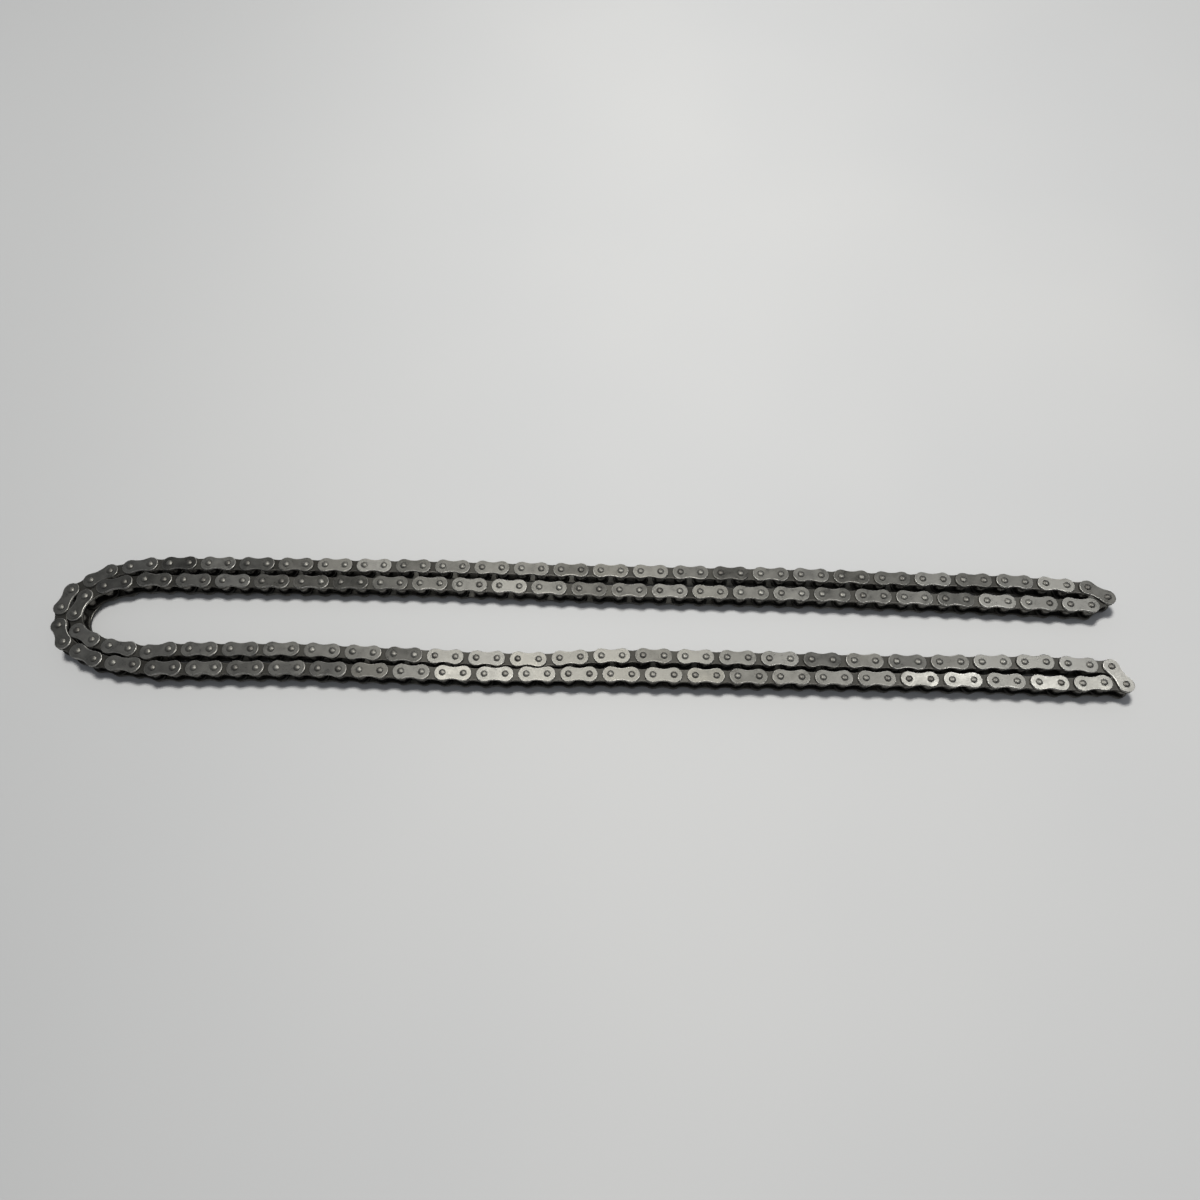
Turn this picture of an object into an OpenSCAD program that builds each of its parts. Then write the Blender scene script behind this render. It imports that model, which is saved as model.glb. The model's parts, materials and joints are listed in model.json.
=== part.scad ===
// Endless roller chain lying on its side, folded once into a U.
// The loop is flattened to two strands that touch, and the pair bends back on
// itself at the left. Its two hairpin tips lie one below the other at the right.
// X runs along the strands and Z along the pins. The origin is the middle of
// the chain's footprint, on the surface that the pin ends stand on.

/* [Links] */
// Distance between neighbouring pins
pitch = 12.7; // [11:0.1:16]
// Height of a link plate across its round ends
plate_h = 9.9; // [8.2:0.1:12]
// Height of a link plate at its waist
waist_h = 7.6; // [6:0.1:9.2]
// Thickness of a link plate
plate_t = 1.3; // [1:0.05:1.8]
// Clear width between the two plates of an inner link
inner_w = 6.3; // [5:0.1:8]

/* [Pins, bushes and rollers] */
// Diameter of a pin's shank
pin_d = 3.6; // [3:0.1:4.4]
// Outer diameter of a bush
bush_d = 5.1; // [4.8:0.1:6.2]
// Outer diameter of a roller
roller_d = 7.7; // [6.4:0.1:9.3]
// How far a riveted pin end stands out of its plate
head_h = 0.9; // [0.6:0.05:1.2]
// How much wider a riveted pin end is than the shank
head_extra = 0.4; // [0.2:0.05:0.6]
// Diameter of the flat on the end of a pin
head_flat_d = 2.2; // [1.6:0.1:2.6]

/* [Clearances] */
// Play between an outer plate and the inner plate beside it
side_play = 0.1; // [0.08:0.01:0.2]
// Play between the end of a roller and the inner plate
roller_end_play = 0.1; // [0.08:0.01:0.2]
// Radial running clearance of a pin in its bush
pin_clearance = 0.05; // [0.03:0.01:0.08]
// Radial running clearance of a roller on its bush
roller_clearance = 0.08; // [0.05:0.01:0.1]
// Seam left at each pressed or riveted joint
press_seam = 0.02; // [0.01:0.005:0.03]
// Least space between the plates of the two strands of a pair
least_gap = 0.1; // [0.05:0.05:0.4]

/* [Lay of the loop] */
// Links in the straight stretch that all four strands share
shared_links = 8; // [2:2:20]
// Space between the two strands where the upper pair leaves the bend
upper_gap = 1.5; // [0.8:0.1:3]
// Space between the two strands where the lower pair leaves the bend
lower_gap = 0.6; // [0.4:0.1:2]
// Space between the outer and the inner bend at the far left
bend_gap = 0.8; // [0.4:0.1:2]
// Links in the loose end of the outer lower strand
tail_links = 20; // [8:2:30]

/* [Hidden] */
$fn = 48;
plate_steel = "#66645f";
inner_plate_steel = "#5a5853";
pin_steel = "#7b7974";
bush_steel = "#55534f";
roller_steel = "#6f6d69";

// Levels in a link, upwards from the pin ends.
lower_outer_z = head_h;
lower_inner_z = lower_outer_z + plate_t + side_play;
roller_space_z = lower_inner_z + plate_t;
upper_inner_z = roller_space_z + inner_w;
upper_outer_z = upper_inner_z + plate_t + side_play;
pin_len = upper_outer_z + plate_t + head_h;

// Outline of a plate: two round ends joined by two hollow arcs that bite a hair into them.
waist_bite = 0.02;
end_r = plate_h / 2;
reach_r = end_r - waist_bite;
waist_r = (pow(pitch / 2, 2) + pow(waist_h / 2, 2) - pow(reach_r, 2)) / (2 * (reach_r - waist_h / 2));
waist_y = waist_r + waist_h / 2;
touch_x = pitch / 2 * waist_r / (waist_r + end_r);
touch_y = waist_y * end_r / (waist_r + end_r);

// Profile of the lower riveted end, from the axis out and up to the plate.
head_r = (pin_d + head_extra) / 2;
head_profile = [[0, 0], [head_flat_d / 2, 0], [0.8 * head_r, 0.2 * head_h], [head_r, 0.6 * head_h],
                [head_r, head_h - press_seam], [pin_d / 2, head_h - press_seam]];

// Strands as [links, heading in degrees], walked from the bend to the right.
outer_upper_run = [[1, 3], [13, 0.5], [6, -0.5], [4, 0], [shared_links, 0], [4, -1.5], [6, 0], [2, -3], [2, -5]];
inner_upper_run = [[1, 0], [6, 0.5], [8, 0.5], [8, -1], [3, 0], [shared_links, 0], [6, -1], [7, -1.5]];
outer_lower_run = [[1, -8], [7, 1.5], [9, -0.5], [6, 1.5], [shared_links, 0.5], [10, 0.5], [3, -1], [1, 0], [1, 4]];
inner_lower_run = [[1, 10], [6, 1.5], [9, -1.5], [3, 0], [3, 5], [2, 2], [5, 0], [shared_links, 0], [6, 1.5], [3, -3]];

// Half bends as one heading for each link, walked from the far left.
outer_upper_bend = [78, 36, 31, 16, 11, 4];
inner_upper_bend = [76, 37, 15, 10];
outer_lower_bend = [-79, -60, -28, -23, -10, -4];
inner_lower_bend = [-65, -28, -18, -7, -8];
// Direction from the far left pin of the inner bend to that of the outer bend.
bend_offset_angle = 157;

function unrolled(run) = [for (s = run) for (i = [1:s[0]]) s[1]];
function turned(headings, angle) = [for (h = headings) h + angle];
function last(list) = list[len(list) - 1];
function reversed(list) = [for (i = [len(list) - 1:-1:0]) list[i]];
function low(list) = [for (c = [0:1]) min([for (p = list) p[c]])];
function high(list) = [for (c = [0:1]) max([for (p = list) p[c]])];
function moved(list, by) = [for (p = list) p + by];

// Pins of a chain of links that starts at a pin and follows the headings.
function walk(start, headings) =
    [for (i = 0, p = start; i <= len(headings);
          p = i < len(headings) ? link_end(p, headings[i]) : p,
          i = i + 1) p];

// Space between the round end of a plate at pin c and the plate that joins pins a and b.
function plate_gap(c, a, b) =
    let (along = (b - a) / pitch, from_middle = c - (a + b) / 2,
         x = abs(from_middle * along), y = abs(cross(along, from_middle)))
    x * waist_y < (waist_y - y) * pitch / 2
        ? waist_r - end_r - norm([x, waist_y - y])
        : norm([x - pitch / 2, y]) - plate_h;

// Smallest space between a link and the nearby links of another strand.
function room(a, b, other) =
    min([for (i = [0:len(other) - 2])
         if (norm(other[i] - a) < 3 * pitch)
         min(plate_gap(b, other[i], other[i + 1]), plate_gap(other[i], a, b), plate_gap(other[i + 1], a, b))]);

// Space inside a hairpin between the strands' last pins and the plates of its tip.
function hairpin_room(span) =
    plate_gap(span * [span / (2 * pitch), sqrt(1 - pow(span / (2 * pitch), 2))], [0, 0], [pitch, 0]);

function lies_clear(a, b, other, is_last) =
    room(a, b, other) >= least_gap && (!is_last || hairpin_room(norm(b - last(other))) >= least_gap);

function link_end(a, heading) = a + pitch * [cos(heading), sin(heading)];

// Smallest turn away from the other strand with which a link lies clear.
function clear_turn(a, heading, side, other, is_last, least = 0, most = 60, rounds = 12) =
    rounds == 0 ? most :
    let (mid = rounds == 12 ? 0 : (least + most) / 2)
    lies_clear(a, link_end(a, heading + side * mid), other, is_last)
        ? (rounds == 12 ? 0 : clear_turn(a, heading, side, other, is_last, least, mid, rounds - 1))
        : clear_turn(a, heading, side, other, is_last, mid, most, rounds - 1);

// Pins of a strand that follows the headings and is turned away wherever it would touch the other strand.
function walk_clear(start, headings, side, other) =
    let (final = len(headings) - 1)
    [for (i = 0, p = start; i <= final + 1;
          p = i > final ? p : link_end(p, headings[i] + side * clear_turn(p, headings[i], side, other, i == final)),
          i = i + 1) p];

// Turn of a half bend about its first pin that brings its last pin to height y.
function trim_to(start, headings, y) =
    let (chord = last(walk(start, headings)) - start)
    asin((y - start[1]) / norm(chord)) - atan2(chord[1], chord[0]);

function strand(start, bend, run) = walk(start, concat(bend, unrolled(run)));

// Tip of a hairpin: one pitch from the ends of both strands, to their right.
function tip_pin(above, below) =
    let (across = below - above, half = norm(across) / 2)
    (above + below) / 2 + sqrt(pow(pitch, 2) - pow(half, 2)) * [-across[1], across[0]] / (2 * half);

// The inner strands lie as they fall. The outer ones keep their gaps to them.
inner_start = [0, 0];
inner_upper = strand(inner_start, inner_upper_bend, inner_upper_run);
inner_lower = strand(inner_start, inner_lower_bend, inner_lower_run);
outer_start = inner_start + (plate_h + bend_gap) * [cos(bend_offset_angle), sin(bend_offset_angle)];
upper_exit_y = inner_upper[4][1] + plate_h + upper_gap;
lower_exit_y = inner_lower[4][1] - plate_h - lower_gap;
outer_upper_headings = concat(turned(outer_upper_bend, trim_to(outer_start, outer_upper_bend, upper_exit_y)),
                              unrolled(outer_upper_run));
outer_lower_headings = concat(turned(outer_lower_bend, trim_to(outer_start, outer_lower_bend, lower_exit_y)),
                              unrolled(outer_lower_run));
outer_upper = walk_clear(outer_start, outer_upper_headings, 1, inner_upper);
outer_lower = walk_clear(outer_start, outer_lower_headings, -1, inner_lower);
upper_tip = tip_pin(last(outer_upper), last(inner_upper));
lower_tip = tip_pin(last(inner_lower), last(outer_lower));

// Both halves of the loop, pin by pin from the upper tip to the lower tip, centred on the footprint.
every_pin = concat(outer_upper, outer_lower, inner_upper, inner_lower, [upper_tip, lower_tip]);
centre = (low(every_pin) + high(every_pin)) / 2;
outer_path = moved(concat([upper_tip], reversed(outer_upper), [for (i = [1:len(outer_lower) - 1]) outer_lower[i]],
                          [lower_tip]), -centre);
inner_path = moved(concat([upper_tip], reversed(inner_upper), [for (i = [1:len(inner_lower) - 1]) inner_lower[i]],
                          [lower_tip]), -centre);

// The outer path has its outer links at even numbers, the inner path at odd ones.
OUTER_PATH = 0;
INNER_PATH = 1;
paths = [outer_path, inner_path];

// First link of each moving stretch. A stretch hinges at the first pin of its first link.
outer_bend_upper_first = len(outer_upper) - 3;
outer_bend_lower_first = outer_bend_upper_first + 2;
lower_outer_first = outer_bend_lower_first + 2;
outer_tip_link = len(outer_path) - 2;
tail_first = outer_tip_link - tail_links;
inner_bend_upper_first = len(inner_upper) - 2;
inner_bend_lower_first = inner_bend_upper_first + 2;
lower_inner_first = inner_bend_lower_first + 2;
inner_tip_link = len(inner_path) - 2;

// Stretches as [name, path, first link, last link, whether each roller is a node of its own].
stretches = [
    ["outer_bend_upper", OUTER_PATH, outer_bend_upper_first, outer_bend_lower_first - 1, true],
    ["outer_bend_lower", OUTER_PATH, outer_bend_lower_first, lower_outer_first - 1, true],
    ["lower_outer", OUTER_PATH, lower_outer_first, tail_first - 1, false],
    ["tail", OUTER_PATH, tail_first, outer_tip_link - 1, false],
    ["inner_bend_upper", INNER_PATH, inner_bend_upper_first, inner_bend_lower_first - 1, true],
    ["inner_bend_lower", INNER_PATH, inner_bend_lower_first, lower_inner_first - 1, true],
    ["lower_inner", INNER_PATH, lower_inner_first, inner_tip_link - 1, false]];
fixed_parts = ["outer_plates", "inner_plates", "pins", "bushes"];
loose_rollers = ["roller_1", "roller_2"];
function parts_of(stretch) = concat(fixed_parts, stretch[4] ? loose_rollers : ["rollers"]);

function chosen(first, final, remainder) = [for (k = [first:final]) if (k % 2 == remainder) k];
function outer_ones(path, first, final) = chosen(first, final, path);
function inner_ones(path, first, final) = chosen(first, final, 1 - path);

// Outline of a link plate with its two holes, centred between them.
module plate_outline(hole_r) {
    difference() {
        union() {
            square([2 * touch_x, 2 * touch_y], center = true);
            for (side = [-1, 1]) translate([side * pitch / 2, 0]) circle(r = end_r);
        }
        for (side = [-1, 1]) translate([0, side * waist_y]) circle(r = waist_r, $fn = 96);
        for (side = [-1, 1]) translate([side * pitch / 2, 0]) circle(r = hole_r);
    }
}

// Lays a part that is drawn from the middle of its link along link k of a path.
module along_link(path, k) {
    from = paths[path][k];
    to = paths[path][k + 1];
    translate([(from[0] + to[0]) / 2, (from[1] + to[1]) / 2, 0])
        rotate([0, 0, atan2(to[1] - from[1], to[0] - from[0])])
            children();
}

module plates(path, links, low_z, high_z, hole_r) {
    for (k = links, z = [low_z, high_z])
        along_link(path, k) translate([0, 0, z]) linear_extrude(plate_t) plate_outline(hole_r);
}

module outer_plates(path, first, final) {
    color(plate_steel)
        plates(path, outer_ones(path, first, final), lower_outer_z, upper_outer_z, pin_d / 2 + press_seam);
}

module inner_plates(path, first, final) {
    color(inner_plate_steel)
        plates(path, inner_ones(path, first, final), lower_inner_z, upper_inner_z, bush_d / 2 + press_seam);
}

// Places a turned part at each pin of the chosen links.
module at_pins(path, links, ends = [0, 1]) {
    for (k = links, end = ends)
        translate([paths[path][k + end][0], paths[path][k + end][1], 0]) children();
}

module pin() {
    rotate_extrude()
        polygon(concat(head_profile, [for (p = reversed(head_profile)) [p[0], pin_len - p[1]]]));
}

// The two riveted ends of a pin without the shank between the outer plates.
module pin_ends() {
    end_profile = concat(head_profile, [[pin_d / 2, head_h + plate_t], [0, head_h + plate_t]]);
    rotate_extrude() polygon(end_profile);
    rotate_extrude() polygon([for (p = reversed(end_profile)) [p[0], pin_len - p[1]]]);
}

module tube(outer_r, inner_r, from_z, length) {
    translate([0, 0, from_z]) linear_extrude(length) difference() {
        circle(r = outer_r);
        circle(r = inner_r);
    }
}

module bush() {
    tube(bush_d / 2, pin_d / 2 + pin_clearance, lower_inner_z, inner_w + 2 * plate_t);
}

module roller() {
    tube(roller_d / 2, bush_d / 2 + roller_clearance, roller_space_z + roller_end_play, inner_w - 2 * roller_end_play);
}

module pins(path, first, final) {
    color(pin_steel) at_pins(path, outer_ones(path, first, final)) pin();
}

module bushes(path, first, final) {
    color(bush_steel) at_pins(path, inner_ones(path, first, final)) bush();
}

module rollers(path, first, final) {
    color(roller_steel) at_pins(path, inner_ones(path, first, final)) roller();
}

// One kind of piece of a stretch of chain.
module stretch(part, path, first, final) {
    if (part == "outer_plates") outer_plates(path, first, final);
    if (part == "inner_plates") inner_plates(path, first, final);
    if (part == "pins") pins(path, first, final);
    if (part == "bushes") bushes(path, first, final);
    if (part == "rollers") rollers(path, first, final);
    if (part == "roller_1") single_roller(path, inner_ones(path, first, final), 0);
    if (part == "roller_2") single_roller(path, inner_ones(path, first, final), 1);
}

module single_roller(path, links, end) {
    color(roller_steel) at_pins(path, links, [end]) roller();
}

// Both upper strands and the upper hairpin, which stay put.
module upper_pair(part) {
    stretch(part, OUTER_PATH, 0, outer_bend_upper_first - 1);
    stretch(part, INNER_PATH, 0, inner_bend_upper_first - 1);
}

module tip_inner_link(part) {
    stretch(part, OUTER_PATH, outer_tip_link, outer_tip_link);
}

module tip_outer_link_plates() {
    outer_plates(INNER_PATH, inner_tip_link, inner_tip_link);
}

module tip_outer_link_pin() {
    color(pin_steel) at_pins(INNER_PATH, [inner_tip_link], [1]) pin();
}

module open_pivot_pin_ends() {
    color(pin_steel) at_pins(INNER_PATH, [inner_tip_link], [0]) pin_ends();
}

for (part = concat(fixed_parts, ["rollers"]))
    upper_pair(part);
for (s = stretches, part = parts_of(s))
    stretch(part, s[1], s[2], s[3]);
tip_inner_link("inner_plates");  // tip_inner_link_plates
tip_inner_link("bushes");  // tip_inner_link_bushes
tip_inner_link("roller_1");  // tip_back_roller
tip_inner_link("roller_2");  // tip_front_roller
tip_outer_link_plates();
tip_outer_link_pin();
open_pivot_pin_ends();
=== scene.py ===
"""Looks for a roller chain that lies on its side, folded back into a U.

Every link plate, pin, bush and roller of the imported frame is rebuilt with
rounded rims and riveted ends in the place that the frame gives it, and dressed
in bare steel that is worked out by shader nodes. Lengths are in metres.
"""

import json
import logging
import math
from dataclasses import dataclass, field
from enum import Enum

import bpy
import numpy as np
from mathutils import Matrix, Vector


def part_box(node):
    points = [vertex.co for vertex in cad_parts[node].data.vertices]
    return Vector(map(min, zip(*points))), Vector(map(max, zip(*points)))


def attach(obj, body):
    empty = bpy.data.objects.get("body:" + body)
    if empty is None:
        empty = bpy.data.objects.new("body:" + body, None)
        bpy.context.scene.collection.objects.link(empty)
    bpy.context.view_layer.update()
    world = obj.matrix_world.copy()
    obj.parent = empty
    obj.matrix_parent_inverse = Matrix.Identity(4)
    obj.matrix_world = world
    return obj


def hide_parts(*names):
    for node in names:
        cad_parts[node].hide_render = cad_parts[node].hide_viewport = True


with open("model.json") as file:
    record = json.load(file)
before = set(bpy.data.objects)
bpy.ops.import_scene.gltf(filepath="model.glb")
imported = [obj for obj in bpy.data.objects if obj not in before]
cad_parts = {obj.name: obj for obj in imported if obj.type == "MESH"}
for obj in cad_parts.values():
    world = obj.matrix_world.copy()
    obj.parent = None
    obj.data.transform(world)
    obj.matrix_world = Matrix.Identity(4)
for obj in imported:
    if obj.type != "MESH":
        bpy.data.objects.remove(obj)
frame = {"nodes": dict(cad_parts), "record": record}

Node = bpy.types.Node
Socket = bpy.types.NodeSocket

LOG = logging.getLogger("chain")
MM = 0.001
CORNER_GRID = 1e6  # steps to a metre, in which two corners of a CAD node are one corner
POINT_GRID = 1e7  # and in which two points of a new piece are one point
INNER_SLOPE = 4.0  # how fast the round end stops counting on the inner side of a pin


def linear(hex_colour: str) -> tuple[float, float, float, float]:
    """Turns an sRGB colour such as "#6a6864" into the linear colour that shaders use.

    Args:
        hex_colour: a hash sign and six hexadecimal digits.

    Returns:
        Red, green, blue and an alpha of one.
    """
    parts = [int(hex_colour[i : i + 2], 16) / 255 for i in (1, 3, 5)]
    red, green, blue = (p / 12.92 if p <= 0.04045 else ((p + 0.055) / 1.055) ** 2.4 for p in parts)
    return (red, green, blue, 1.0)


class Sort(Enum):
    """The sorts of piece that a chain is made of, named for the record's material slots."""

    OUTER_PLATE = "outer_plate_steel"
    INNER_PLATE = "inner_plate_steel"
    PIN = "pin_steel"
    BUSH = "bush_steel"
    ROLLER = "roller_steel"

    @property
    def is_plate(self) -> bool:
        """Whether the piece is a link plate, which has a long side and a flat face."""
        return self in (Sort.OUTER_PLATE, Sort.INNER_PLATE)


# ---------------------------------------------------------------- shader nodes


class Nodes:
    """The node tree of a material or of the world, with the one way to add a node."""

    def __init__(self, owner: bpy.types.Material | bpy.types.World) -> None:
        """Takes the owner's node tree and empties it."""
        owner.use_nodes = True
        self.owner = owner
        self.tree = owner.node_tree
        self.tree.nodes.clear()

    def add(self, kind: str, inputs: dict | tuple = (), **settings: object) -> Node:
        """Adds a node, sets its properties, then fills its inputs.

        Args:
            kind: the node's type name without its leading "ShaderNode".
            inputs: values in the order of the node's inputs, or a dict from an
                input's name or number to its value. A node stands for its first output.
            settings: properties of the node, such as operation="ADD".

        Returns:
            The new node.
        """
        node = self.tree.nodes.new("ShaderNode" + kind)
        for key, value in settings.items():
            setattr(node, key, value)
        for key, value in inputs.items() if isinstance(inputs, dict) else enumerate(inputs):
            if isinstance(value, Node):
                value = value.outputs[0]
            if isinstance(value, Socket):
                self.tree.links.new(value, node.inputs[key])
            else:
                node.inputs[key].default_value = value
        return node

    def sway(self, value: float | Socket, shares: dict[Node, float]) -> Node:
        """Moves a value up and down with patterns, and keeps it from nought to one.

        The result is the value plus, for each pattern, its share times the
        pattern less a half.

        Args:
            value: what the result is where every pattern is at its middle.
            shares: how far each pattern may move the value.

        Returns:
            The last node.
        """
        total = value
        for pattern, share in shares.items():
            centred = self.add("Math", (pattern, 0.5), operation="SUBTRACT")
            total = self.add("Math", (centred, share, total), operation="MULTIPLY_ADD")
        total.use_clamp = True
        return total

    def length(self, x: Node | Socket, y: Node | Socket) -> Node:
        """Adds the length of the flat vector (x, y), the root of the sum of their squares."""
        square = self.add("Math", (y, y), operation="MULTIPLY")
        square = self.add("Math", (x, x, square), operation="MULTIPLY_ADD")
        return self.add("Math", (square,), operation="SQRT")

    def steel(
        self, colour: Socket, rough: Node, relief: Node, strength: float, depth: float
    ) -> bpy.types.Material:
        """Ends a material as bare metal with a fine relief.

        Args:
            colour: the metal's colour.
            rough: its roughness.
            relief: the pattern that stands up from the surface.
            strength: the share of the relief that shows.
            depth: how far the pattern stands up.

        Returns:
            The finished material.
        """
        bump = self.add("Bump", {"Height": relief, "Strength": strength, "Distance": depth})
        inputs = {"Base Color": colour, "Metallic": 1.0, "Roughness": rough, "Normal": bump}
        self.add("OutputMaterial", (self.add("BsdfPrincipled", inputs),))
        return self.owner


@dataclass(frozen=True)
class PlateSteel:
    """Cold-rolled steel plate, punched, tumbled and left with oil.

    It is a dull grey mirror that spreads a lamp's image over the whole face, with
    dark grime and painted shade round each pin, and a thin bright line on the rim
    that is partly wear and partly a painted highlight. Shares say how far oil,
    scuffs and grain, in that order, move a value. A reach is the distance at which
    the grime and shade or the rim's wear and highlight sets in and the one where it
    is full. Patches and breaks say between which two values of a pattern they go
    from their first strength to their second.
    """

    name: str
    dark: str
    light: str
    # colour of the rim's wear and painted highlight
    rim: str
    # colour of the grime and painted shade round each pin
    grime_and_shade: str
    roughness: float
    half_pitch: float
    end_radius: float
    waist_centre: float
    waist_radius: float
    oil_size: float = 5.5 * MM
    # Rolling marks and grain are finer on the real plate. They are drawn this coarse so that they show.
    scuff_size: float = 0.35 * MM
    scuff_squeeze: float = 0.25
    grain_size: float = 0.45 * MM
    grain_strength: float = 0.3
    grain_depth: float = 0.03 * MM
    shade_shares: tuple[float, float, float] = (0.6, 0.5, 0.4)
    rough_shares: tuple[float, float] = (0.3, 0.35)
    grime_and_shade_reach: tuple[float, float] = (2.5 * MM, 2.0 * MM)
    grime_and_shade_patches: tuple[float, float, float, float] = (0.2, 0.75, 0.3, 0.7)
    rim_reach: tuple[float, float] = (0.5 * MM, 0.15 * MM)
    rim_breaks: tuple[float, float, float, float] = (0.3, 0.62, 0.4, 1.0)

    def material(self) -> bpy.types.Material:
        """Builds the material.

        The face runs from dark to light with the piece's own tone and three
        patterns: blotches of oil, long scuffs and grain. Grime and painted shade lie
        within their reach of a pin where the oil is, and the rim's bright line of wear
        and painted highlight is broken by the scuffs.

        Returns:
            The finished material.
        """
        s = Nodes(bpy.data.materials.new(self.name))
        point = s.add("TexCoord").outputs["Object"]
        from_pin, inward = self.distances(s)
        tone = s.add("Attribute", attribute_name="tone").outputs["Fac"]
        rim_wear_and_highlight = s.add("Attribute", attribute_name="rim_wear_and_highlight").outputs["Fac"]
        soft, crisp = {"Vector": point, "Roughness": 0.55}, {"Vector": point, "Roughness": 0.7}
        oil = s.add("TexNoise", soft | {"Scale": 1 / self.oil_size, "Detail": 4.0})
        grain = s.add("TexNoise", crisp | {"Scale": 1 / self.grain_size, "Detail": 2.0})
        long = s.add("Mapping", {"Vector": point, "Scale": (self.scuff_squeeze, 1.0, 1.0)})
        scuff = s.add("TexNoise", soft | {"Vector": long, "Scale": 1 / self.scuff_size, "Detail": 3.0})

        shade = s.sway(tone, dict(zip((oil, scuff, grain), self.shade_shares)))
        face = s.add("Mix", {0: shade, 6: linear(self.dark), 7: linear(self.light)}, data_type="RGBA")

        # Grime and painted shade: the face is darkened round each pin where the oil pattern is high.
        near_pin = s.add("MapRange", (from_pin, *self.grime_and_shade_reach), interpolation_type="SMOOTHSTEP")
        patchy = s.add("MapRange", (oil, *self.grime_and_shade_patches), interpolation_type="SMOOTHSTEP")
        grime_and_shade_mask = s.add("Math", (near_pin, patchy), operation="MULTIPLY")
        face = s.add("Mix", {0: grime_and_shade_mask, 6: face.outputs[2], 7: linear(self.grime_and_shade)}, data_type="RGBA")

        # The rim's bright line is partly wear and partly a painted highlight.
        near_rim = s.add("MapRange", (inward, *self.rim_reach), interpolation_type="SMOOTHSTEP")
        broken = s.add("MapRange", (scuff, *self.rim_breaks), interpolation_type="SMOOTHSTEP")
        wear_and_highlight_mask = s.add("Math", (near_rim, broken), operation="MULTIPLY")
        wear_and_highlight_mask = s.add("Math", (wear_and_highlight_mask, rim_wear_and_highlight), operation="MULTIPLY", use_clamp=True)
        face = s.add("Mix", {0: wear_and_highlight_mask, 6: face.outputs[2], 7: linear(self.rim)}, data_type="RGBA")

        rough = s.sway(self.roughness, dict(zip((oil, scuff), self.rough_shares)))
        return s.steel(face.outputs[2], rough, grain, self.grain_strength, self.grain_depth)

    def distances(self, s: Nodes) -> tuple[Node, Node]:
        """Adds a point's distance from the nearer pin and its distance in from the outline.

        The map "lie" holds the point's place (x, y) on its own plate. The round
        end is end_radius from the pin at (half_pitch, 0), and the hollow is
        waist_radius from (0, waist_centre). On the inner side of a pin a slope
        takes over from the round end, so that only the hollow counts there.

        Args:
            s: the material's nodes.

        Returns:
            Both distances.
        """
        lie = s.add("SeparateXYZ", (s.add("UVMap", uv_map="lie"),))
        along = s.add("Math", (lie.outputs[0],), operation="ABSOLUTE")
        across = s.add("Math", (lie.outputs[1],), operation="ABSOLUTE")
        before_pin = s.add("Math", (self.half_pitch, along), operation="SUBTRACT")
        from_pin = s.length(before_pin, lie.outputs[1])
        past_centre = s.add("Math", (across, self.waist_centre), operation="SUBTRACT")
        from_centre = s.length(lie.outputs[0], past_centre)
        to_end = s.add("Math", (self.end_radius, from_pin), operation="SUBTRACT")
        to_hollow = s.add("Math", (from_centre, self.waist_radius), operation="SUBTRACT")
        slope = s.add("Math", (before_pin, INNER_SLOPE), operation="MULTIPLY")
        inward = s.add("Math", (to_end, slope), operation="MAXIMUM")
        return from_pin, s.add("Math", (inward, to_hollow), operation="MINIMUM")


@dataclass(frozen=True)
class TurnedSteel:
    """Turned and hardened steel of a pin, bush or roller.

    It is smoother than the plates, so it shows a small soft gleam, and its oil
    lies in blotches.
    """

    name: str
    dark: str
    light: str
    roughness: float
    oil_size: float = 2.2 * MM
    # Turning marks are finer on the real piece. They are drawn this coarse so that they show.
    mark_size: float = 0.2 * MM
    mark_squeeze: float = 0.3
    mark_strength: float = 0.25
    mark_depth: float = 0.04 * MM
    oil_share: float = 0.7
    mark_share: float = 0.3
    rough_share: float = 0.2

    def material(self) -> bpy.types.Material:
        """Builds the material, whose shade comes from the tone, oil and turning marks.

        The marks stand up as relief too.

        Returns:
            The finished material.
        """
        s = Nodes(bpy.data.materials.new(self.name))
        point = s.add("TexCoord").outputs["Object"]
        tone = s.add("Attribute", attribute_name="tone").outputs["Fac"]
        blotches = {"Vector": point, "Scale": 1 / self.oil_size, "Detail": 3.0, "Roughness": 0.55}
        oil = s.add("TexNoise", blotches)
        squeeze = (self.mark_squeeze, self.mark_squeeze, 1.0)
        around = s.add("Mapping", {"Vector": point, "Scale": squeeze})
        turning = {"Vector": around, "Scale": 1 / self.mark_size, "Detail": 2.0, "Roughness": 0.7}
        marks = s.add("TexNoise", turning)
        shade = s.sway(tone, {oil: self.oil_share, marks: self.mark_share})
        colour = s.add("Mix", {0: shade, 6: linear(self.dark), 7: linear(self.light)}, data_type="RGBA")
        rough = s.sway(self.roughness, {oil: self.rough_share})
        return s.steel(colour.outputs[2], rough, marks, self.mark_strength, self.mark_depth)


# ---------------------------------------------------------------- reading the frame


@dataclass(frozen=True)
class Place:
    """Where one solid of a node lies: its middle, its long side's angle, its lowest and highest z."""

    centre: np.ndarray
    angle: float
    low: float
    high: float


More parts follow.
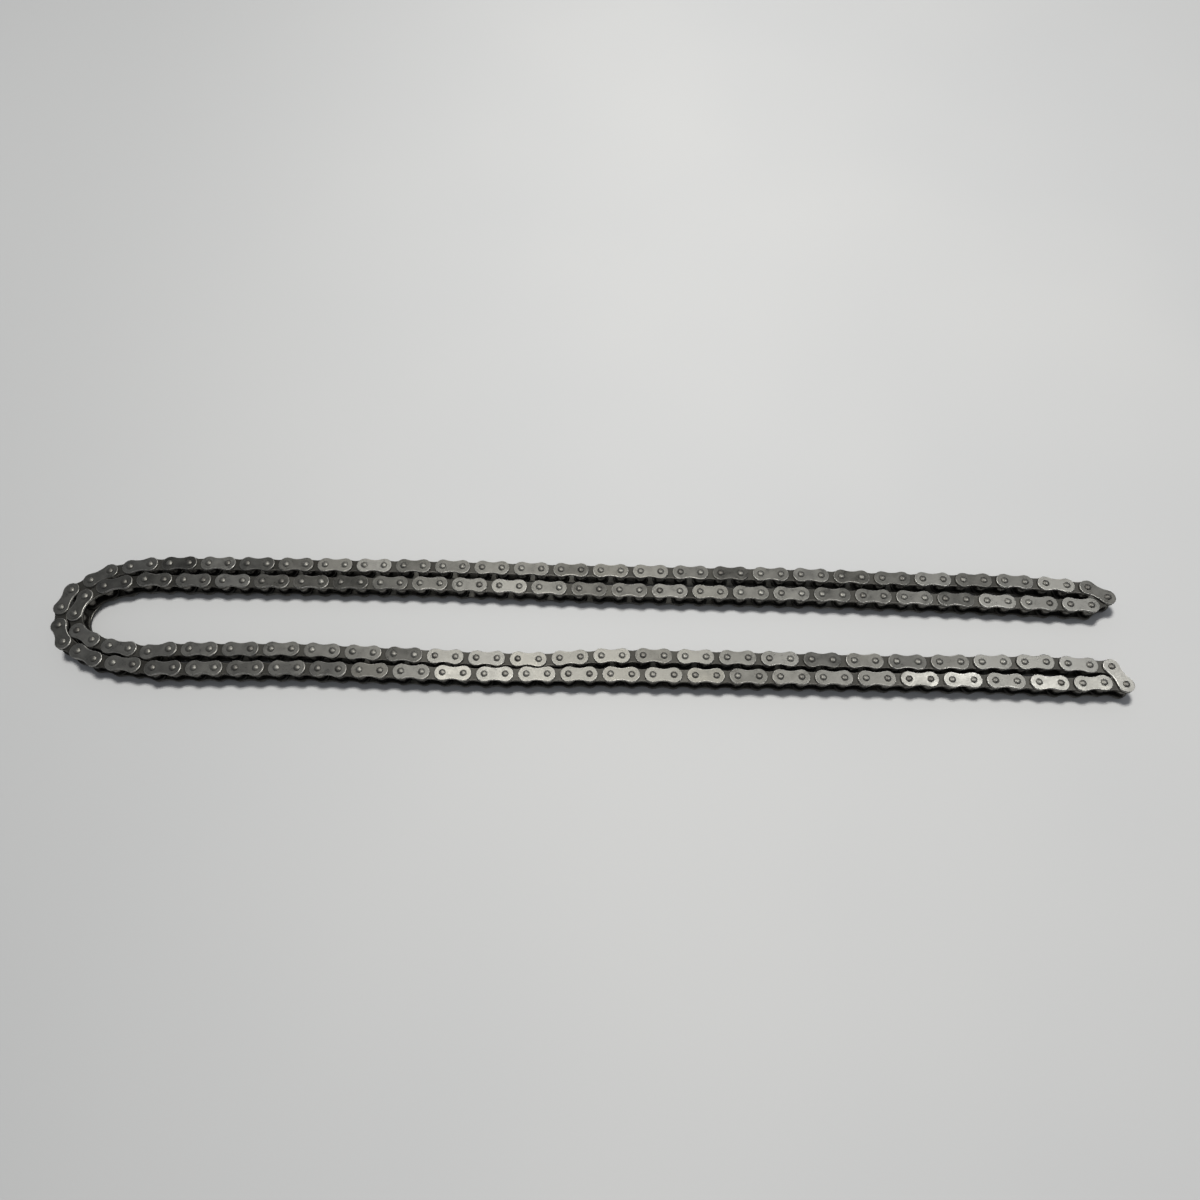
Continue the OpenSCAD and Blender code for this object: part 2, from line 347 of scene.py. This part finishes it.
def places(node: str) -> list[Place]:
    """Splits a CAD node into its separate solids and says where each one lies.

    Corners within a micrometre are one corner. Each corner takes the lowest
    number among its neighbours until nothing changes, so a solid ends up with one
    number. A solid's long side is the main axis of its area's second moment.

    Args:
        node: the CAD node's name.

    Returns:
        One place for each solid, from left to right.
    """
    mesh = frame["nodes"][node].data
    mesh.calc_loop_triangles()
    corners = np.empty(len(mesh.vertices) * 3)
    mesh.vertices.foreach_get("co", corners)
    corners = corners.reshape(-1, 3)
    triangles = np.empty(len(mesh.loop_triangles) * 3, np.int64)
    mesh.loop_triangles.foreach_get("vertices", triangles)
    grid = np.round(corners * CORNER_GRID).astype(np.int64)
    weld = np.unique(grid, axis=0, return_inverse=True)[1].reshape(-1)
    welded = weld[triangles.reshape(-1, 3)]
    label = np.arange(welded.max() + 1)
    while True:
        lowest = label.copy()
        np.minimum.at(lowest, welded, label[welded].min(axis=1)[:, None])
        lowest = lowest[lowest]
        if np.array_equal(lowest, label):
            break
        label = lowest
    owner = label[welded[:, 0]]
    points = corners[triangles.reshape(-1, 3)]
    found = []
    for one in np.unique(owner):
        part = points[owner == one]
        low, high = part.reshape(-1, 3).min(0), part.reshape(-1, 3).max(0)
        centre = (low + high) / 2
        flat = part[:, :, :2] - centre[:2]
        edge, other = flat[:, 1] - flat[:, 0], flat[:, 2] - flat[:, 0]
        area = np.abs(edge[:, 0] * other[:, 1] - edge[:, 1] * other[:, 0])
        total = flat.sum(axis=1)
        moment = np.einsum("t,tia,tib->ab", area, flat, flat)
        moment += np.einsum("t,ta,tb->ab", area, total, total)
        angle = 0.5 * math.atan2(2 * moment[0, 1], moment[0, 0] - moment[1, 1])
        found.append(Place(centre, angle, low[2], high[2]))
    # Plates of one link differ in x by rounding alone, so x counts to a hundredth of a millimetre.
    return sorted(found, key=lambda p: (round(p.centre[0], 5), p.centre[1], p.low))


# ---------------------------------------------------------------- shapes of the pieces


@dataclass
class Shape:
    """Points, faces of four point numbers, and each point's normal and place on its own piece."""

    points: np.ndarray
    quads: np.ndarray
    normals: np.ndarray
    lie: np.ndarray

    @classmethod
    def joined(cls, shapes: list["Shape"]) -> "Shape":
        """Puts shapes whose point numbers already follow each other into one."""
        names = ("points", "quads", "normals", "lie")
        return cls(*(np.concatenate([getattr(shape, name) for shape in shapes]) for name in names))


@dataclass
class LinkPlate:
    """A waisted link plate with two holes and rounded rims."""

    half_pitch: float
    end_radius: float
    waist: float
    thickness: float
    hole: float
    rim: float = 0.3 * MM
    end_steps: int = 10
    waist_steps: int = 2

    @property
    def waist_radius(self) -> float:
        """Radius of the hollow arc that touches both round ends and leaves the waist."""
        squares = self.half_pitch**2 + self.waist**2 - self.end_radius**2
        return squares / (2 * (self.end_radius - self.waist))

    @property
    def waist_centre(self) -> float:
        """Distance from the plate's middle line to the centre of the hollow arc."""
        return self.waist + self.waist_radius

    def half_outline(self) -> tuple[np.ndarray, np.ndarray]:
        """Outline of the right half, from the top of the waist round to its bottom.

        The hollow arc is centred at (0, waist_centre) and the round end at
        (half_pitch, 0). They meet on the line between the two centres.

        Returns:
            Points and outward directions, both as rows of x and y.
        """
        meet = math.atan2(self.waist_centre, -self.half_pitch)
        sweep = np.linspace(meet, -meet, self.end_steps + 1)
        ring = np.stack([np.cos(sweep), np.sin(sweep)], axis=1)
        end = self.end_radius * ring + (self.half_pitch, 0)
        lean = np.linspace(0, meet - math.pi / 2, self.waist_steps + 1)[:-1]
        hollow = np.stack([np.sin(lean), -np.cos(lean)], axis=1)
        arc = self.waist_radius * hollow + (0, self.waist_centre)
        flip = np.array([1, -1])
        points = np.concatenate([arc, end, arc[::-1] * flip])
        outward = np.concatenate([-hollow, ring, -hollow[::-1] * flip])
        return points, outward

    def build(self) -> Shape:
        """Builds the plate as rings of points, with its middle at the origin.

        Going over the plate, the rings are: hole at the upper face, upper face
        inside the rim, wall below the rim, wall at the lower face, lower face at
        the outline, hole at the lower face and the two ends of the bore. Each
        half has the same number of points in every ring. The rim's corner is one
        flat step whose normals run from upright to half-way outward, so it shades
        as a round. The two halves meet on the middle line.

        Returns:
            The plate's shape.
        """
        line, outward = self.half_outline()
        count = len(line)
        middle = np.array([[0.0, 0.0]])
        border = np.concatenate([line, middle])
        out = np.concatenate([outward, [[0.0, 0.0]]])
        way = np.arctan2(border[:, 1], border[:, 0] - self.half_pitch)
        circle = np.stack([np.cos(way), np.sin(way)], axis=1)
        hole = self.hole * circle + (self.half_pitch, 0)
        inset = border - self.rim * out
        up, half = np.array([0.0, 0.0, 1.0]), self.thickness / 2

        def ring(flat: np.ndarray, z: float) -> np.ndarray:
            """Lifts flat points to a height."""
            return np.column_stack([flat, np.full(len(flat), z)])

        def level(flat: np.ndarray, sign: float) -> np.ndarray:
            """Gives flat points a normal straight up or down."""
            return np.tile(sign * up, (len(flat), 1))

        wall = np.column_stack([out, np.zeros(count + 1)])
        corner = (wall + up) / math.sqrt(2)
        bore = np.column_stack([-circle, np.zeros(count + 1)])
        rings = [
            (ring(hole, half), level(hole, 1)),
            (ring(inset, half), level(inset, 1)),
            (ring(border, half - self.rim), corner),
            (ring(border, -half), wall),
            (ring(border, -half), level(border, -1)),
            (ring(hole, -half), level(hole, -1)),
            (ring(hole, half), bore),
            (ring(hole, -half), bore),
        ]
        # Each strip joins two rings, and a closed one runs on over the point at the plate's middle.
        strips = [(0, 1, True), (1, 2, False), (2, 3, False), (4, 5, True), (7, 6, True)]
        size = count + 1
        right = np.concatenate([r[0] for r in rings])
        right_normals = np.concatenate([r[1] for r in rings])
        quads = []
        for first, second, closed in strips:
            steps = size if closed else count - 1
            here = np.arange(steps)
            then = (here + 1) % size
            one, other = first * size, second * size
            quads.append(np.column_stack([one + here, other + here, other + then, one + then]))
        quads = np.concatenate(quads)
        mirror = np.array([-1.0, 1.0, 1.0])
        points = np.concatenate([right, right * mirror])
        normals = np.concatenate([right_normals, right_normals * mirror])
        quads = np.concatenate([quads[:, ::-1], quads + len(right)])
        return Shape(points, quads, normals, points[:, :2].copy())


@dataclass
class Turned:
    """A piece turned about its own axis from a profile of radius and height."""

    profile: list[tuple[float, float]]
    steps: int
    closed: bool = True
    sharp: float = 40.0

    def build(self) -> Shape:
        """Turns the profile about the upright axis.

        A profile point at radius r and height z becomes (r cos a, r sin a, z) for
        evenly spaced angles a. Where two stretches of profile meet at more than
        the sharp angle, the ring is doubled, so each side keeps its own normal.

        Returns:
            The turned shape.
        """
        line = np.array(self.profile)
        ends = np.roll(line, -1, axis=0) if self.closed else line[1:]
        starts = line if self.closed else line[:-1]
        run = ends - starts
        run /= np.linalg.norm(run, axis=1)[:, None]
        facing = np.column_stack([run[:, 1], -run[:, 0]])
        turn = np.roll(facing, 1, axis=0)
        meets = (facing * turn).sum(axis=1) > math.cos(math.radians(self.sharp))
        if not self.closed:
            meets[0] = False
        here = np.where(meets[:, None], facing + turn, facing)
        after = np.roll(facing, -1, axis=0)
        joins = np.roll(meets, -1)
        then = np.where(joins[:, None], facing + after, facing)
        angle = np.linspace(0, 2 * math.pi, self.steps, endpoint=False)
        cosine, sine = np.cos(angle), np.sin(angle)

        def swept(flat: np.ndarray) -> np.ndarray:
            """Carries pairs of radius and height round the axis."""
            radial, upright = flat[:, :1], np.repeat(flat[:, 1:], self.steps, axis=1)
            return np.stack([radial * cosine, radial * sine, upright], axis=2)

        points = np.stack([swept(starts), swept(ends)], axis=1)
        normals = np.stack([swept(here), swept(then)], axis=1)
        normals /= np.maximum(np.linalg.norm(normals, axis=3, keepdims=True), 1e-9)
        bands = len(starts)
        index = np.arange(bands * 2 * self.steps).reshape(bands, 2, self.steps)
        around = np.roll(index, -1, axis=2)
        quads = np.stack([index[:, 0], around[:, 0], around[:, 1], index[:, 1]], axis=2).reshape(-1, 4)
        points = points.reshape(-1, 3)
        return Shape(points, quads, normals.reshape(-1, 3), points[:, :2].copy())


# ---------------------------------------------------------------- the chain


@dataclass
class Gauge:
    """Sizes of the chain's pieces. Those without a value are read from the frame's own nodes."""

    waist: float = 3.8 * MM
    pin_radius: float = 1.8 * MM
    head_flat: float = 0.66 * MM
    head_round: float = 0.72
    roller_edge: float = 0.3 * MM
    seam: float = 0.02 * MM
    play: float = 0.05 * MM
    roller_play: float = 0.08 * MM
    pitch: float = field(init=False)
    end_radius: float = field(init=False)
    plate_thickness: float = field(init=False)
    bush_radius: float = field(init=False)
    roller_radius: float = field(init=False)
    head_radius: float = field(init=False)
    head_height: float = field(init=False)
    pin_length: float = field(init=False)

    def __post_init__(self) -> None:
        """Measures one link: pin centres give the pitch and boxes give the rest."""
        low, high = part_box("tip_outer_link_pin")
        tip = (low + high) / 2
        self.head_radius = (high.x - low.x) / 2
        self.pin_length = high.z - low.z
        low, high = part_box("open_pivot_pin_ends")
        near = (low + high) / 2
        self.pitch = math.hypot(tip.x - near.x, tip.y - near.y)
        low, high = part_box("tip_front_roller")
        self.roller_radius = (high.x - low.x) / 2
        low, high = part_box("tip_outer_link_plates")
        self.head_height = low.z
        self.end_radius = (high.x - low.x - abs(tip.x - near.x)) / 2
        inner_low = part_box("tip_inner_link_bushes")[0]
        self.plate_thickness = places("tip_outer_link_plates")[0].high - self.head_height
        bush = places("tip_inner_link_bushes")[0]
        self.bush_radius = bush.centre[0] - inner_low.x


@dataclass
class Piecework:
    """Copies one shape to every place of a CAD node and dresses it.

    Tone and rim wear with its painted highlight each hold a middle and a spread,
    then the least and the most. A piece below mid-height keeps only its share of
    both, which paints the shade that the upper plates cast on it. Tilt is how far a
    plate's normals lean sideways, as a spread in radians. Below the sharp angle, in
    degrees, a roller's faces shade as one round.
    """

    gauge: Gauge
    seed: int = 41
    tone: tuple[float, float, float, float] = (0.45, 0.2, 0.05, 0.95)
    highlight_and_wear: tuple[float, float, float, float] = (0.6, 0.25, 0.15, 1.0)
    # share of tone and rim highlight kept below mid-height, as painted shade under the upper plates
    painted_shade_share: float = 0.3
    tilt: float = 0.035
    pin_steps: int = 12
    roller_steps: int = 14
    roller_sharp: float = 50.0

    def shape(self, sort: Sort, place: Place) -> Shape:
        """Gives the shape of one piece of a sort.

        Args:
            sort: which sort of piece.
            place: a place of that sort, for its height and thickness.

        Returns:
            The shape about its own middle.
        """
        g = self.gauge
        half = (place.high - place.low) / 2
        if sort.is_plate:
            hole = (g.pin_radius if sort is Sort.OUTER_PLATE else g.bush_radius) + g.seam
            return LinkPlate(g.pitch / 2, g.end_radius, g.waist, 2 * half, hole).build()
        if sort is Sort.PIN:
            return Turned(self.pin_profile(half, place.low), self.pin_steps, closed=False).build()
        if sort is Sort.BUSH:
            # The bore has flats, so its corners stand back until the flats clear the pin.
            bore = (g.pin_radius + g.play) / math.cos(math.pi / self.pin_steps)
            section = [(g.bush_radius, -half), (g.bush_radius, half), (bore, half), (bore, -half)]
            return Turned(section, self.pin_steps).build()
        return Turned(self.roller_section(half), self.roller_steps, sharp=self.roller_sharp).build()

    def pin_profile(self, half: float, low: float) -> list[tuple[float, float]]:
        """Profile of a riveted pin, or of one pin end, from its lower to its upper middle.

        The riveted end is a low dome: from a small flat its radius grows to the
        widest point, then steps in under the head to the shank.

        Args:
            half: half the piece's height.
            low: the height of its lowest point, which tells a lower end from an upper one.

        Returns:
            Radius and height pairs, upwards.
        """
        g = self.gauge
        under = g.head_height - g.seam
        dome = [
            (0.0, 0.0),
            (g.head_flat, 0.02 * g.head_height),
            (g.head_round * g.head_radius, 0.2 * g.head_height),
            (g.head_radius, 0.7 * g.head_height),
            (g.head_radius, under),
            (g.pin_radius, under),
        ]
        lower = [(r, z - half) for r, z in dome]
        upper = [(r, half - z) for r, z in reversed(dome)]
        if 2 * half > g.pin_length / 2:
            return lower + upper
        if low < g.pin_length / 2:
            return lower + [(g.pin_radius, half), (0.0, half)]
        return [(0.0, -half), (g.pin_radius, -half)] + upper

    def roller_section(self, half: float) -> list[tuple[float, float]]:
        """Closed section of a roller with broken outer edges.

        Args:
            half: half the roller's length.

        Returns:
            Radius and height pairs, up the outside and down the bore.
        """
        g = self.gauge
        outer, edge, bore = g.roller_radius, g.roller_edge, g.bush_radius + g.roller_play
        return [
            (outer, edge - half),
            (outer, half - edge),
            (outer - edge, half),
            (bore, half),
            (bore, -half),
            (outer - edge, -half),
        ]

    def tones(self, node: str, spots: list[Place]) -> tuple[np.ndarray, np.ndarray]:
        """Shade and rim wear with painted highlight of each piece, seeded by the node's name, with
        painted shade below mid-height.

        Args:
            node: the CAD node's name.
            spots: where its pieces lie.

        Returns:
            One shade and one rim wear with painted highlight for each piece, both from nought to one.
        """
        seed = self.seed + sum(ord(letter) * place for place, letter in enumerate(node, start=1))
        chance = np.random.default_rng(seed)
        tone, rim_wear_and_highlight = (
            np.clip(chance.normal(middle, spread, len(spots)), least, most)
            for middle, spread, least, most in (self.tone, self.highlight_and_wear)
        )
        # Painted shade: pieces below mid-height are made darker and their rims duller.
        share = np.where([spot.high < self.gauge.pin_length / 2 for spot in spots], self.painted_shade_share, 1.0)
        return share * tone, share * rim_wear_and_highlight

    def make(self, node: str, body: str, sort: Sort, material: bpy.types.Material) -> bpy.types.Object:
        """Builds the piece that stands for a CAD node.

        Args:
            node: the CAD node's name.
            body: the body it moves with.
            sort: which sort of piece it holds.
            material: its finish.

        Returns:
            The new object, at the origin with its place in its mesh.
        """
        spots = places(node)
        tone, rim_wear_and_highlight = self.tones(node, spots)
        leans = self.tilt * np.random.default_rng(self.seed + len(node)).normal(0, 1, (len(spots), 2))
        shapes = []
        start = 0
        for spot, lean in zip(spots, leans):
            shape = self.shape(sort, spot)
            if sort.is_plate:
                cosine, sine = math.cos(spot.angle), math.sin(spot.angle)
                turn = np.array([[cosine, sine, 0], [-sine, cosine, 0], [0, 0, 1]])
                shape.points = shape.points @ turn
                shape.normals = shape.normals @ turn + (*lean, 0.0)
            shape.points = shape.points + spot.centre
            shape.normals = shape.normals / np.linalg.norm(shape.normals, axis=1)[:, None]
            shape.quads = shape.quads + start
            start += len(shape.points)
            shapes.append(shape)
        sizes = [len(shape.points) for shape in shapes]
        tone, rim_wear_and_highlight = np.repeat(tone, sizes), np.repeat(rim_wear_and_highlight, sizes)
        obj = self.mesh(f"{node}_finished", Shape.joined(shapes), tone, rim_wear_and_highlight)
        obj.data.materials.append(material)
        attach(obj, body)
        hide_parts(node)
        return obj

    @staticmethod
    def mesh(name: str, whole: Shape, tone: np.ndarray, rim_wear_and_highlight: np.ndarray) -> bpy.types.Object:
        """Puts whole arrays into a new mesh, with its flat map, shades and normals.

        Points at one place become one point. An edge that has lost its length is
        left out of its quad, which so becomes a triangle at a turned piece's axis.

        Args:
            name: the object's name.
            whole: points, quads, normals and flat map of all the pieces.
            tone: each point's shade.
            rim_wear_and_highlight: each point's rim wear and painted rim highlight.

        Returns:
            The linked object.
        """
        grid = np.round(whole.points * POINT_GRID).astype(np.int64)
        weld = np.unique(grid, axis=0, return_inverse=True)[1].reshape(-1)
        first = np.full(weld.max() + 1, -1)
        first[weld[::-1]] = np.arange(len(weld))[::-1]
        welded = weld[whole.quads]
        keep = welded != np.roll(welded, -1, axis=1)
        corners, source = welded[keep], whole.quads[keep]
        counts = keep.sum(axis=1)
        starts = np.concatenate([[0], np.cumsum(counts)[:-1]])
        mesh = bpy.data.meshes.new(name)
        mesh.vertices.add(len(first))
        mesh.vertices.foreach_set("co", whole.points[first].astype(np.float32).ravel())
        mesh.loops.add(len(corners))
        mesh.loops.foreach_set("vertex_index", corners.astype(np.int32))
        mesh.polygons.add(len(counts))
        mesh.polygons.foreach_set("loop_start", starts.astype(np.int32))
        mesh.update(calc_edges=True)
        flat = mesh.uv_layers.new(name="lie")
        flat.data.foreach_set("uv", whole.lie[source].astype(np.float32).ravel())
        for label, values in (("tone", tone), ("rim_wear_and_highlight", rim_wear_and_highlight)):
            layer = mesh.attributes.new(label, "FLOAT", "POINT")
            layer.data.foreach_set("value", values[first].astype(np.float32))
        mesh.polygons.foreach_set("use_smooth", np.ones(len(counts), bool))
        mesh.validate()
        mesh.normals_split_custom_set(whole.normals[source].tolist())
        obj = bpy.data.objects.new(name, mesh)
        bpy.context.scene.collection.objects.link(obj)
        return obj


@dataclass
class Chain:
    """The whole chain: every CAD node rebuilt with its finish."""

    gauge: Gauge = field(default_factory=Gauge)

    def finishes(self) -> dict[Sort, bpy.types.Material]:
        """Makes one material for each sort of piece.

        Each plate steel has its dark and light face, rim colour of wear and painted
        highlight, colour of grime and painted shade, and roughness, and each turned steel
        its dark and light and its roughness. The inner plates' colours are darker as
        painted shade between the outer plates.

        Returns:
            The material of each sort.
        """
        g = self.gauge
        plate = LinkPlate(g.pitch / 2, g.end_radius, g.waist, g.plate_thickness, g.pin_radius)
        form = (g.pitch / 2, g.end_radius, plate.waist_centre, plate.waist_radius)
        # The third colour is the rim's wear and painted highlight, the fourth grime and painted shade
        # round the pins.
        satin = ("#4a4945", "#7a7974", "#aeaca6", "#2f2e2b", 0.36)
        # The inner plates are painted darker, as the shade that falls between the outer plates.
        shade_darkened = ("#33322f", "#4a4945", "#6f6d68", "#242320", 0.5)
        finishes = {
            Sort.OUTER_PLATE: PlateSteel("satin_plate_steel", *satin, *form),
            Sort.INNER_PLATE: PlateSteel("shade_darkened_plate_steel", *shade_darkened, *form),
            Sort.PIN: TurnedSteel("riveted_pin_steel", "#514f4b", "#807f79", 0.44),
            Sort.BUSH: TurnedSteel("drawn_bush_steel", "#34322f", "#4c4a46", 0.45),
            Sort.ROLLER: TurnedSteel("turned_roller_steel", "#52504c", "#7d7b76", 0.32),
        }
        return {sort: finish.material() for sort, finish in finishes.items()}

    def build(self) -> None:
        """Rebuilds each CAD node with the sort that the record's slots give it."""
        materials = self.finishes()
        work = Piecework(self.gauge)
        sorts = {entry["node"]: Sort(entry["material_slot"]) for entry in frame["record"]["subparts"]}
        for body, nodes in frame["record"]["behaviour"]["bodies"].items():
            for node in nodes:
                obj = work.make(node, body, sorts[node], materials[sorts[node]])
                LOG.info("%s: %d faces", obj.name, len(obj.data.polygons))


# ---------------------------------------------------------------- floor, lamps and camera


class Acts(Enum):
    """What a lamp acts on, named for the kind of ray that it is hidden from."""

    ON_FLOOR = "visible_glossy"
    ON_STEEL = "visible_diffuse"


@dataclass(frozen=True)
class Lamp:
    """A soft rectangular lamp, which hangs at its place and faces its aim."""

    name: str
    place: tuple[float, float, float]
    aim: tuple[float, float, float]
    size: tuple[float, float]
    power: float
    colour: str
    acts: Acts

    def hang(self) -> None:
        """Adds the lamp to the scene."""
        light = bpy.data.lights.new(self.name, "AREA")
        light.shape = "RECTANGLE"
        light.size, light.size_y = self.size
        light.energy = self.power
        light.color = linear(self.colour)[:3]
        obj = bpy.data.objects.new(self.name, light)
        obj.location = self.place
        obj.rotation_euler = (Vector(self.aim) - Vector(self.place)).to_track_quat("-Z", "Y").to_euler()
        setattr(obj, self.acts.value, False)
        bpy.context.scene.collection.objects.link(obj)


DAYLIGHT, WHITE, CENTRE = "#fffdf8", "#ffffff", (0.0, 0.0, 0.0)
LAMPS = (
    Lamp("window", (-0.25, 0.6, 2.0), (0.02, 0.1, 0.0), (0.42, 0.34), 52.0, DAYLIGHT, Acts.ON_FLOOR),
    Lamp("key", (-0.02, 0.2, 1.05), CENTRE, (0.42, 0.3), 5.0, DAYLIGHT, Acts.ON_STEEL),
    Lamp("back", (-0.3, 1.5, 1.5), CENTRE, (0.8, 0.5), 6.0, DAYLIGHT, Acts.ON_STEEL),
    Lamp("strip_right", (1.0, 0.38, 1.7), (0.25, -0.03, 0.0), (0.22, 0.24), 11.5, WHITE, Acts.ON_STEEL),
    Lamp("strip_middle", (-0.42, 0.62, 1.75), (-0.1, -0.03, 0.0), (0.3, 0.26), 2.5, WHITE, Acts.ON_STEEL),
)


@dataclass
class Studio:
    """A pale floor, a cool sky, soft lamps overhead and the camera."""

    floor_reach: float = 3.0
    floor_colour: str = "#b6b7b8"
    floor_patch: str = "#c0c0bf"
    floor_painted_shade: str = "#a2a3a4"
    floor_roughness: float = 0.75
    floor_sheen: float = 0.25
    patch_size: float = 0.35
    patch_edges: tuple[float, float] = (0.3, 0.7)
    patch_strength: float = 0.35
    painted_shade_reach: tuple[float, float] = (0.15, -0.5)
    sky_colour: str = "#c9ccd2"
    sky_edges: tuple[float, float] = (-0.7, 0.3)
    sky_strength: tuple[float, float] = (0.38, 0.52)
    look_at: tuple[float, float, float] = (12.72 * MM, 14.89 * MM, 13.5 * MM)
    camera_distance: float = 536.6 * MM
    camera_elevation: float = 63.13
    camera_heading: float = 93.9
    camera_roll: float = 2.22
    focal_length: float = 25.73
    sensor_width: float = 36.0

    def board(self) -> bpy.types.Material:
        """Makes the floor's matt board, with faint patches and painted shade that makes it a little
        darker towards its left side.

        Returns:
            The finished material.
        """
        s = Nodes(bpy.data.materials.new("matt_board"))
        point = s.add("TexCoord").outputs["Object"]
        patches = {"Vector": point, "Scale": 1 / self.patch_size, "Detail": 2.0, "Roughness": 0.55}
        patch = s.add("TexNoise", patches)
        reach = (*self.patch_edges, 0.0, self.patch_strength)
        patchy = s.add("MapRange", (patch, *reach), interpolation_type="SMOOTHSTEP")
        both = {0: patchy, 6: linear(self.floor_colour), 7: linear(self.floor_patch)}
        colour = s.add("Mix", both, data_type="RGBA")
        along = s.add("SeparateXYZ", (point,))
        # Painted shade: the floor grows darker towards its left side, as a falloff of light.
        left = s.add("MapRange", (along, *self.painted_shade_reach), interpolation_type="SMOOTHSTEP")
        both = {0: left, 6: colour.outputs[2], 7: linear(self.floor_painted_shade)}
        colour = s.add("Mix", both, data_type="RGBA")
        matt = {"Roughness": self.floor_roughness, "Specular IOR Level": self.floor_sheen}
        shader = s.add("BsdfPrincipled", {"Base Color": colour.outputs[2]} | matt)
        s.add("OutputMaterial", (shader,))
        return s.owner

    def floor(self) -> None:
        """Lays a wide flat floor at the height of the lower pin ends."""
        reach = self.floor_reach
        corners = [(-reach, -reach, 0), (reach, -reach, 0), (reach, reach, 0), (-reach, reach, 0)]
        mesh = bpy.data.meshes.new("floor")
        mesh.from_pydata(corners, [], [(0, 1, 2, 3)])
        mesh.materials.append(self.board())
        obj = bpy.data.objects.new("floor", mesh)
        bpy.context.scene.collection.objects.link(obj)

    def sky(self) -> None:
        """Fills the world with a slightly cool light that is dimmer on the camera's side."""
        world = bpy.data.worlds.new("room")
        bpy.context.scene.world = world
        s = Nodes(world)
        way = s.add("SeparateXYZ", (s.add("TexCoord").outputs["Generated"],))
        fall = s.add("MapRange", (way.outputs[1], *self.sky_edges, *self.sky_strength))
        s.add("OutputWorld", (s.add("Background", (linear(self.sky_colour), fall)),))

    def camera(self) -> None:
        """Sets up the camera, which looks down at the chain from its open side."""
        data = bpy.data.cameras.new("camera")
        data.lens = self.focal_length
        data.sensor_width = self.sensor_width
        data.sensor_fit = "HORIZONTAL"
        data.clip_start, data.clip_end = 0.01, 20.0
        down, heading = math.radians(self.camera_elevation), math.radians(self.camera_heading)
        flat = math.cos(down)
        ahead = Vector((flat * math.cos(heading), flat * math.sin(heading), -math.sin(down)))
        level = ahead.to_track_quat("-Z", "Y").to_matrix().to_4x4()
        roll = Matrix.Rotation(math.radians(-self.camera_roll), 4, "Z")
        obj = bpy.data.objects.new("camera", data)
        place = Matrix.Translation(Vector(self.look_at) - self.camera_distance * ahead)
        obj.matrix_world = place @ level @ roll
        bpy.context.scene.collection.objects.link(obj)
        bpy.context.scene.camera = obj

    def build(self) -> None:
        """Builds the floor, the light and the camera."""
        self.floor()
        self.sky()
        for lamp in LAMPS:
            lamp.hang()
        self.camera()
        bpy.context.scene.view_settings.view_transform = "Standard"


def main() -> None:
    """Builds the chain and the studio."""
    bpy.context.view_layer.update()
    Chain().build()
    Studio().build()
    bpy.context.view_layer.update()
    LOG.info("boxes written")


if __name__ == "__main__":
    logging.basicConfig(level=logging.INFO, format="%(name)s: %(message)s")
    main()
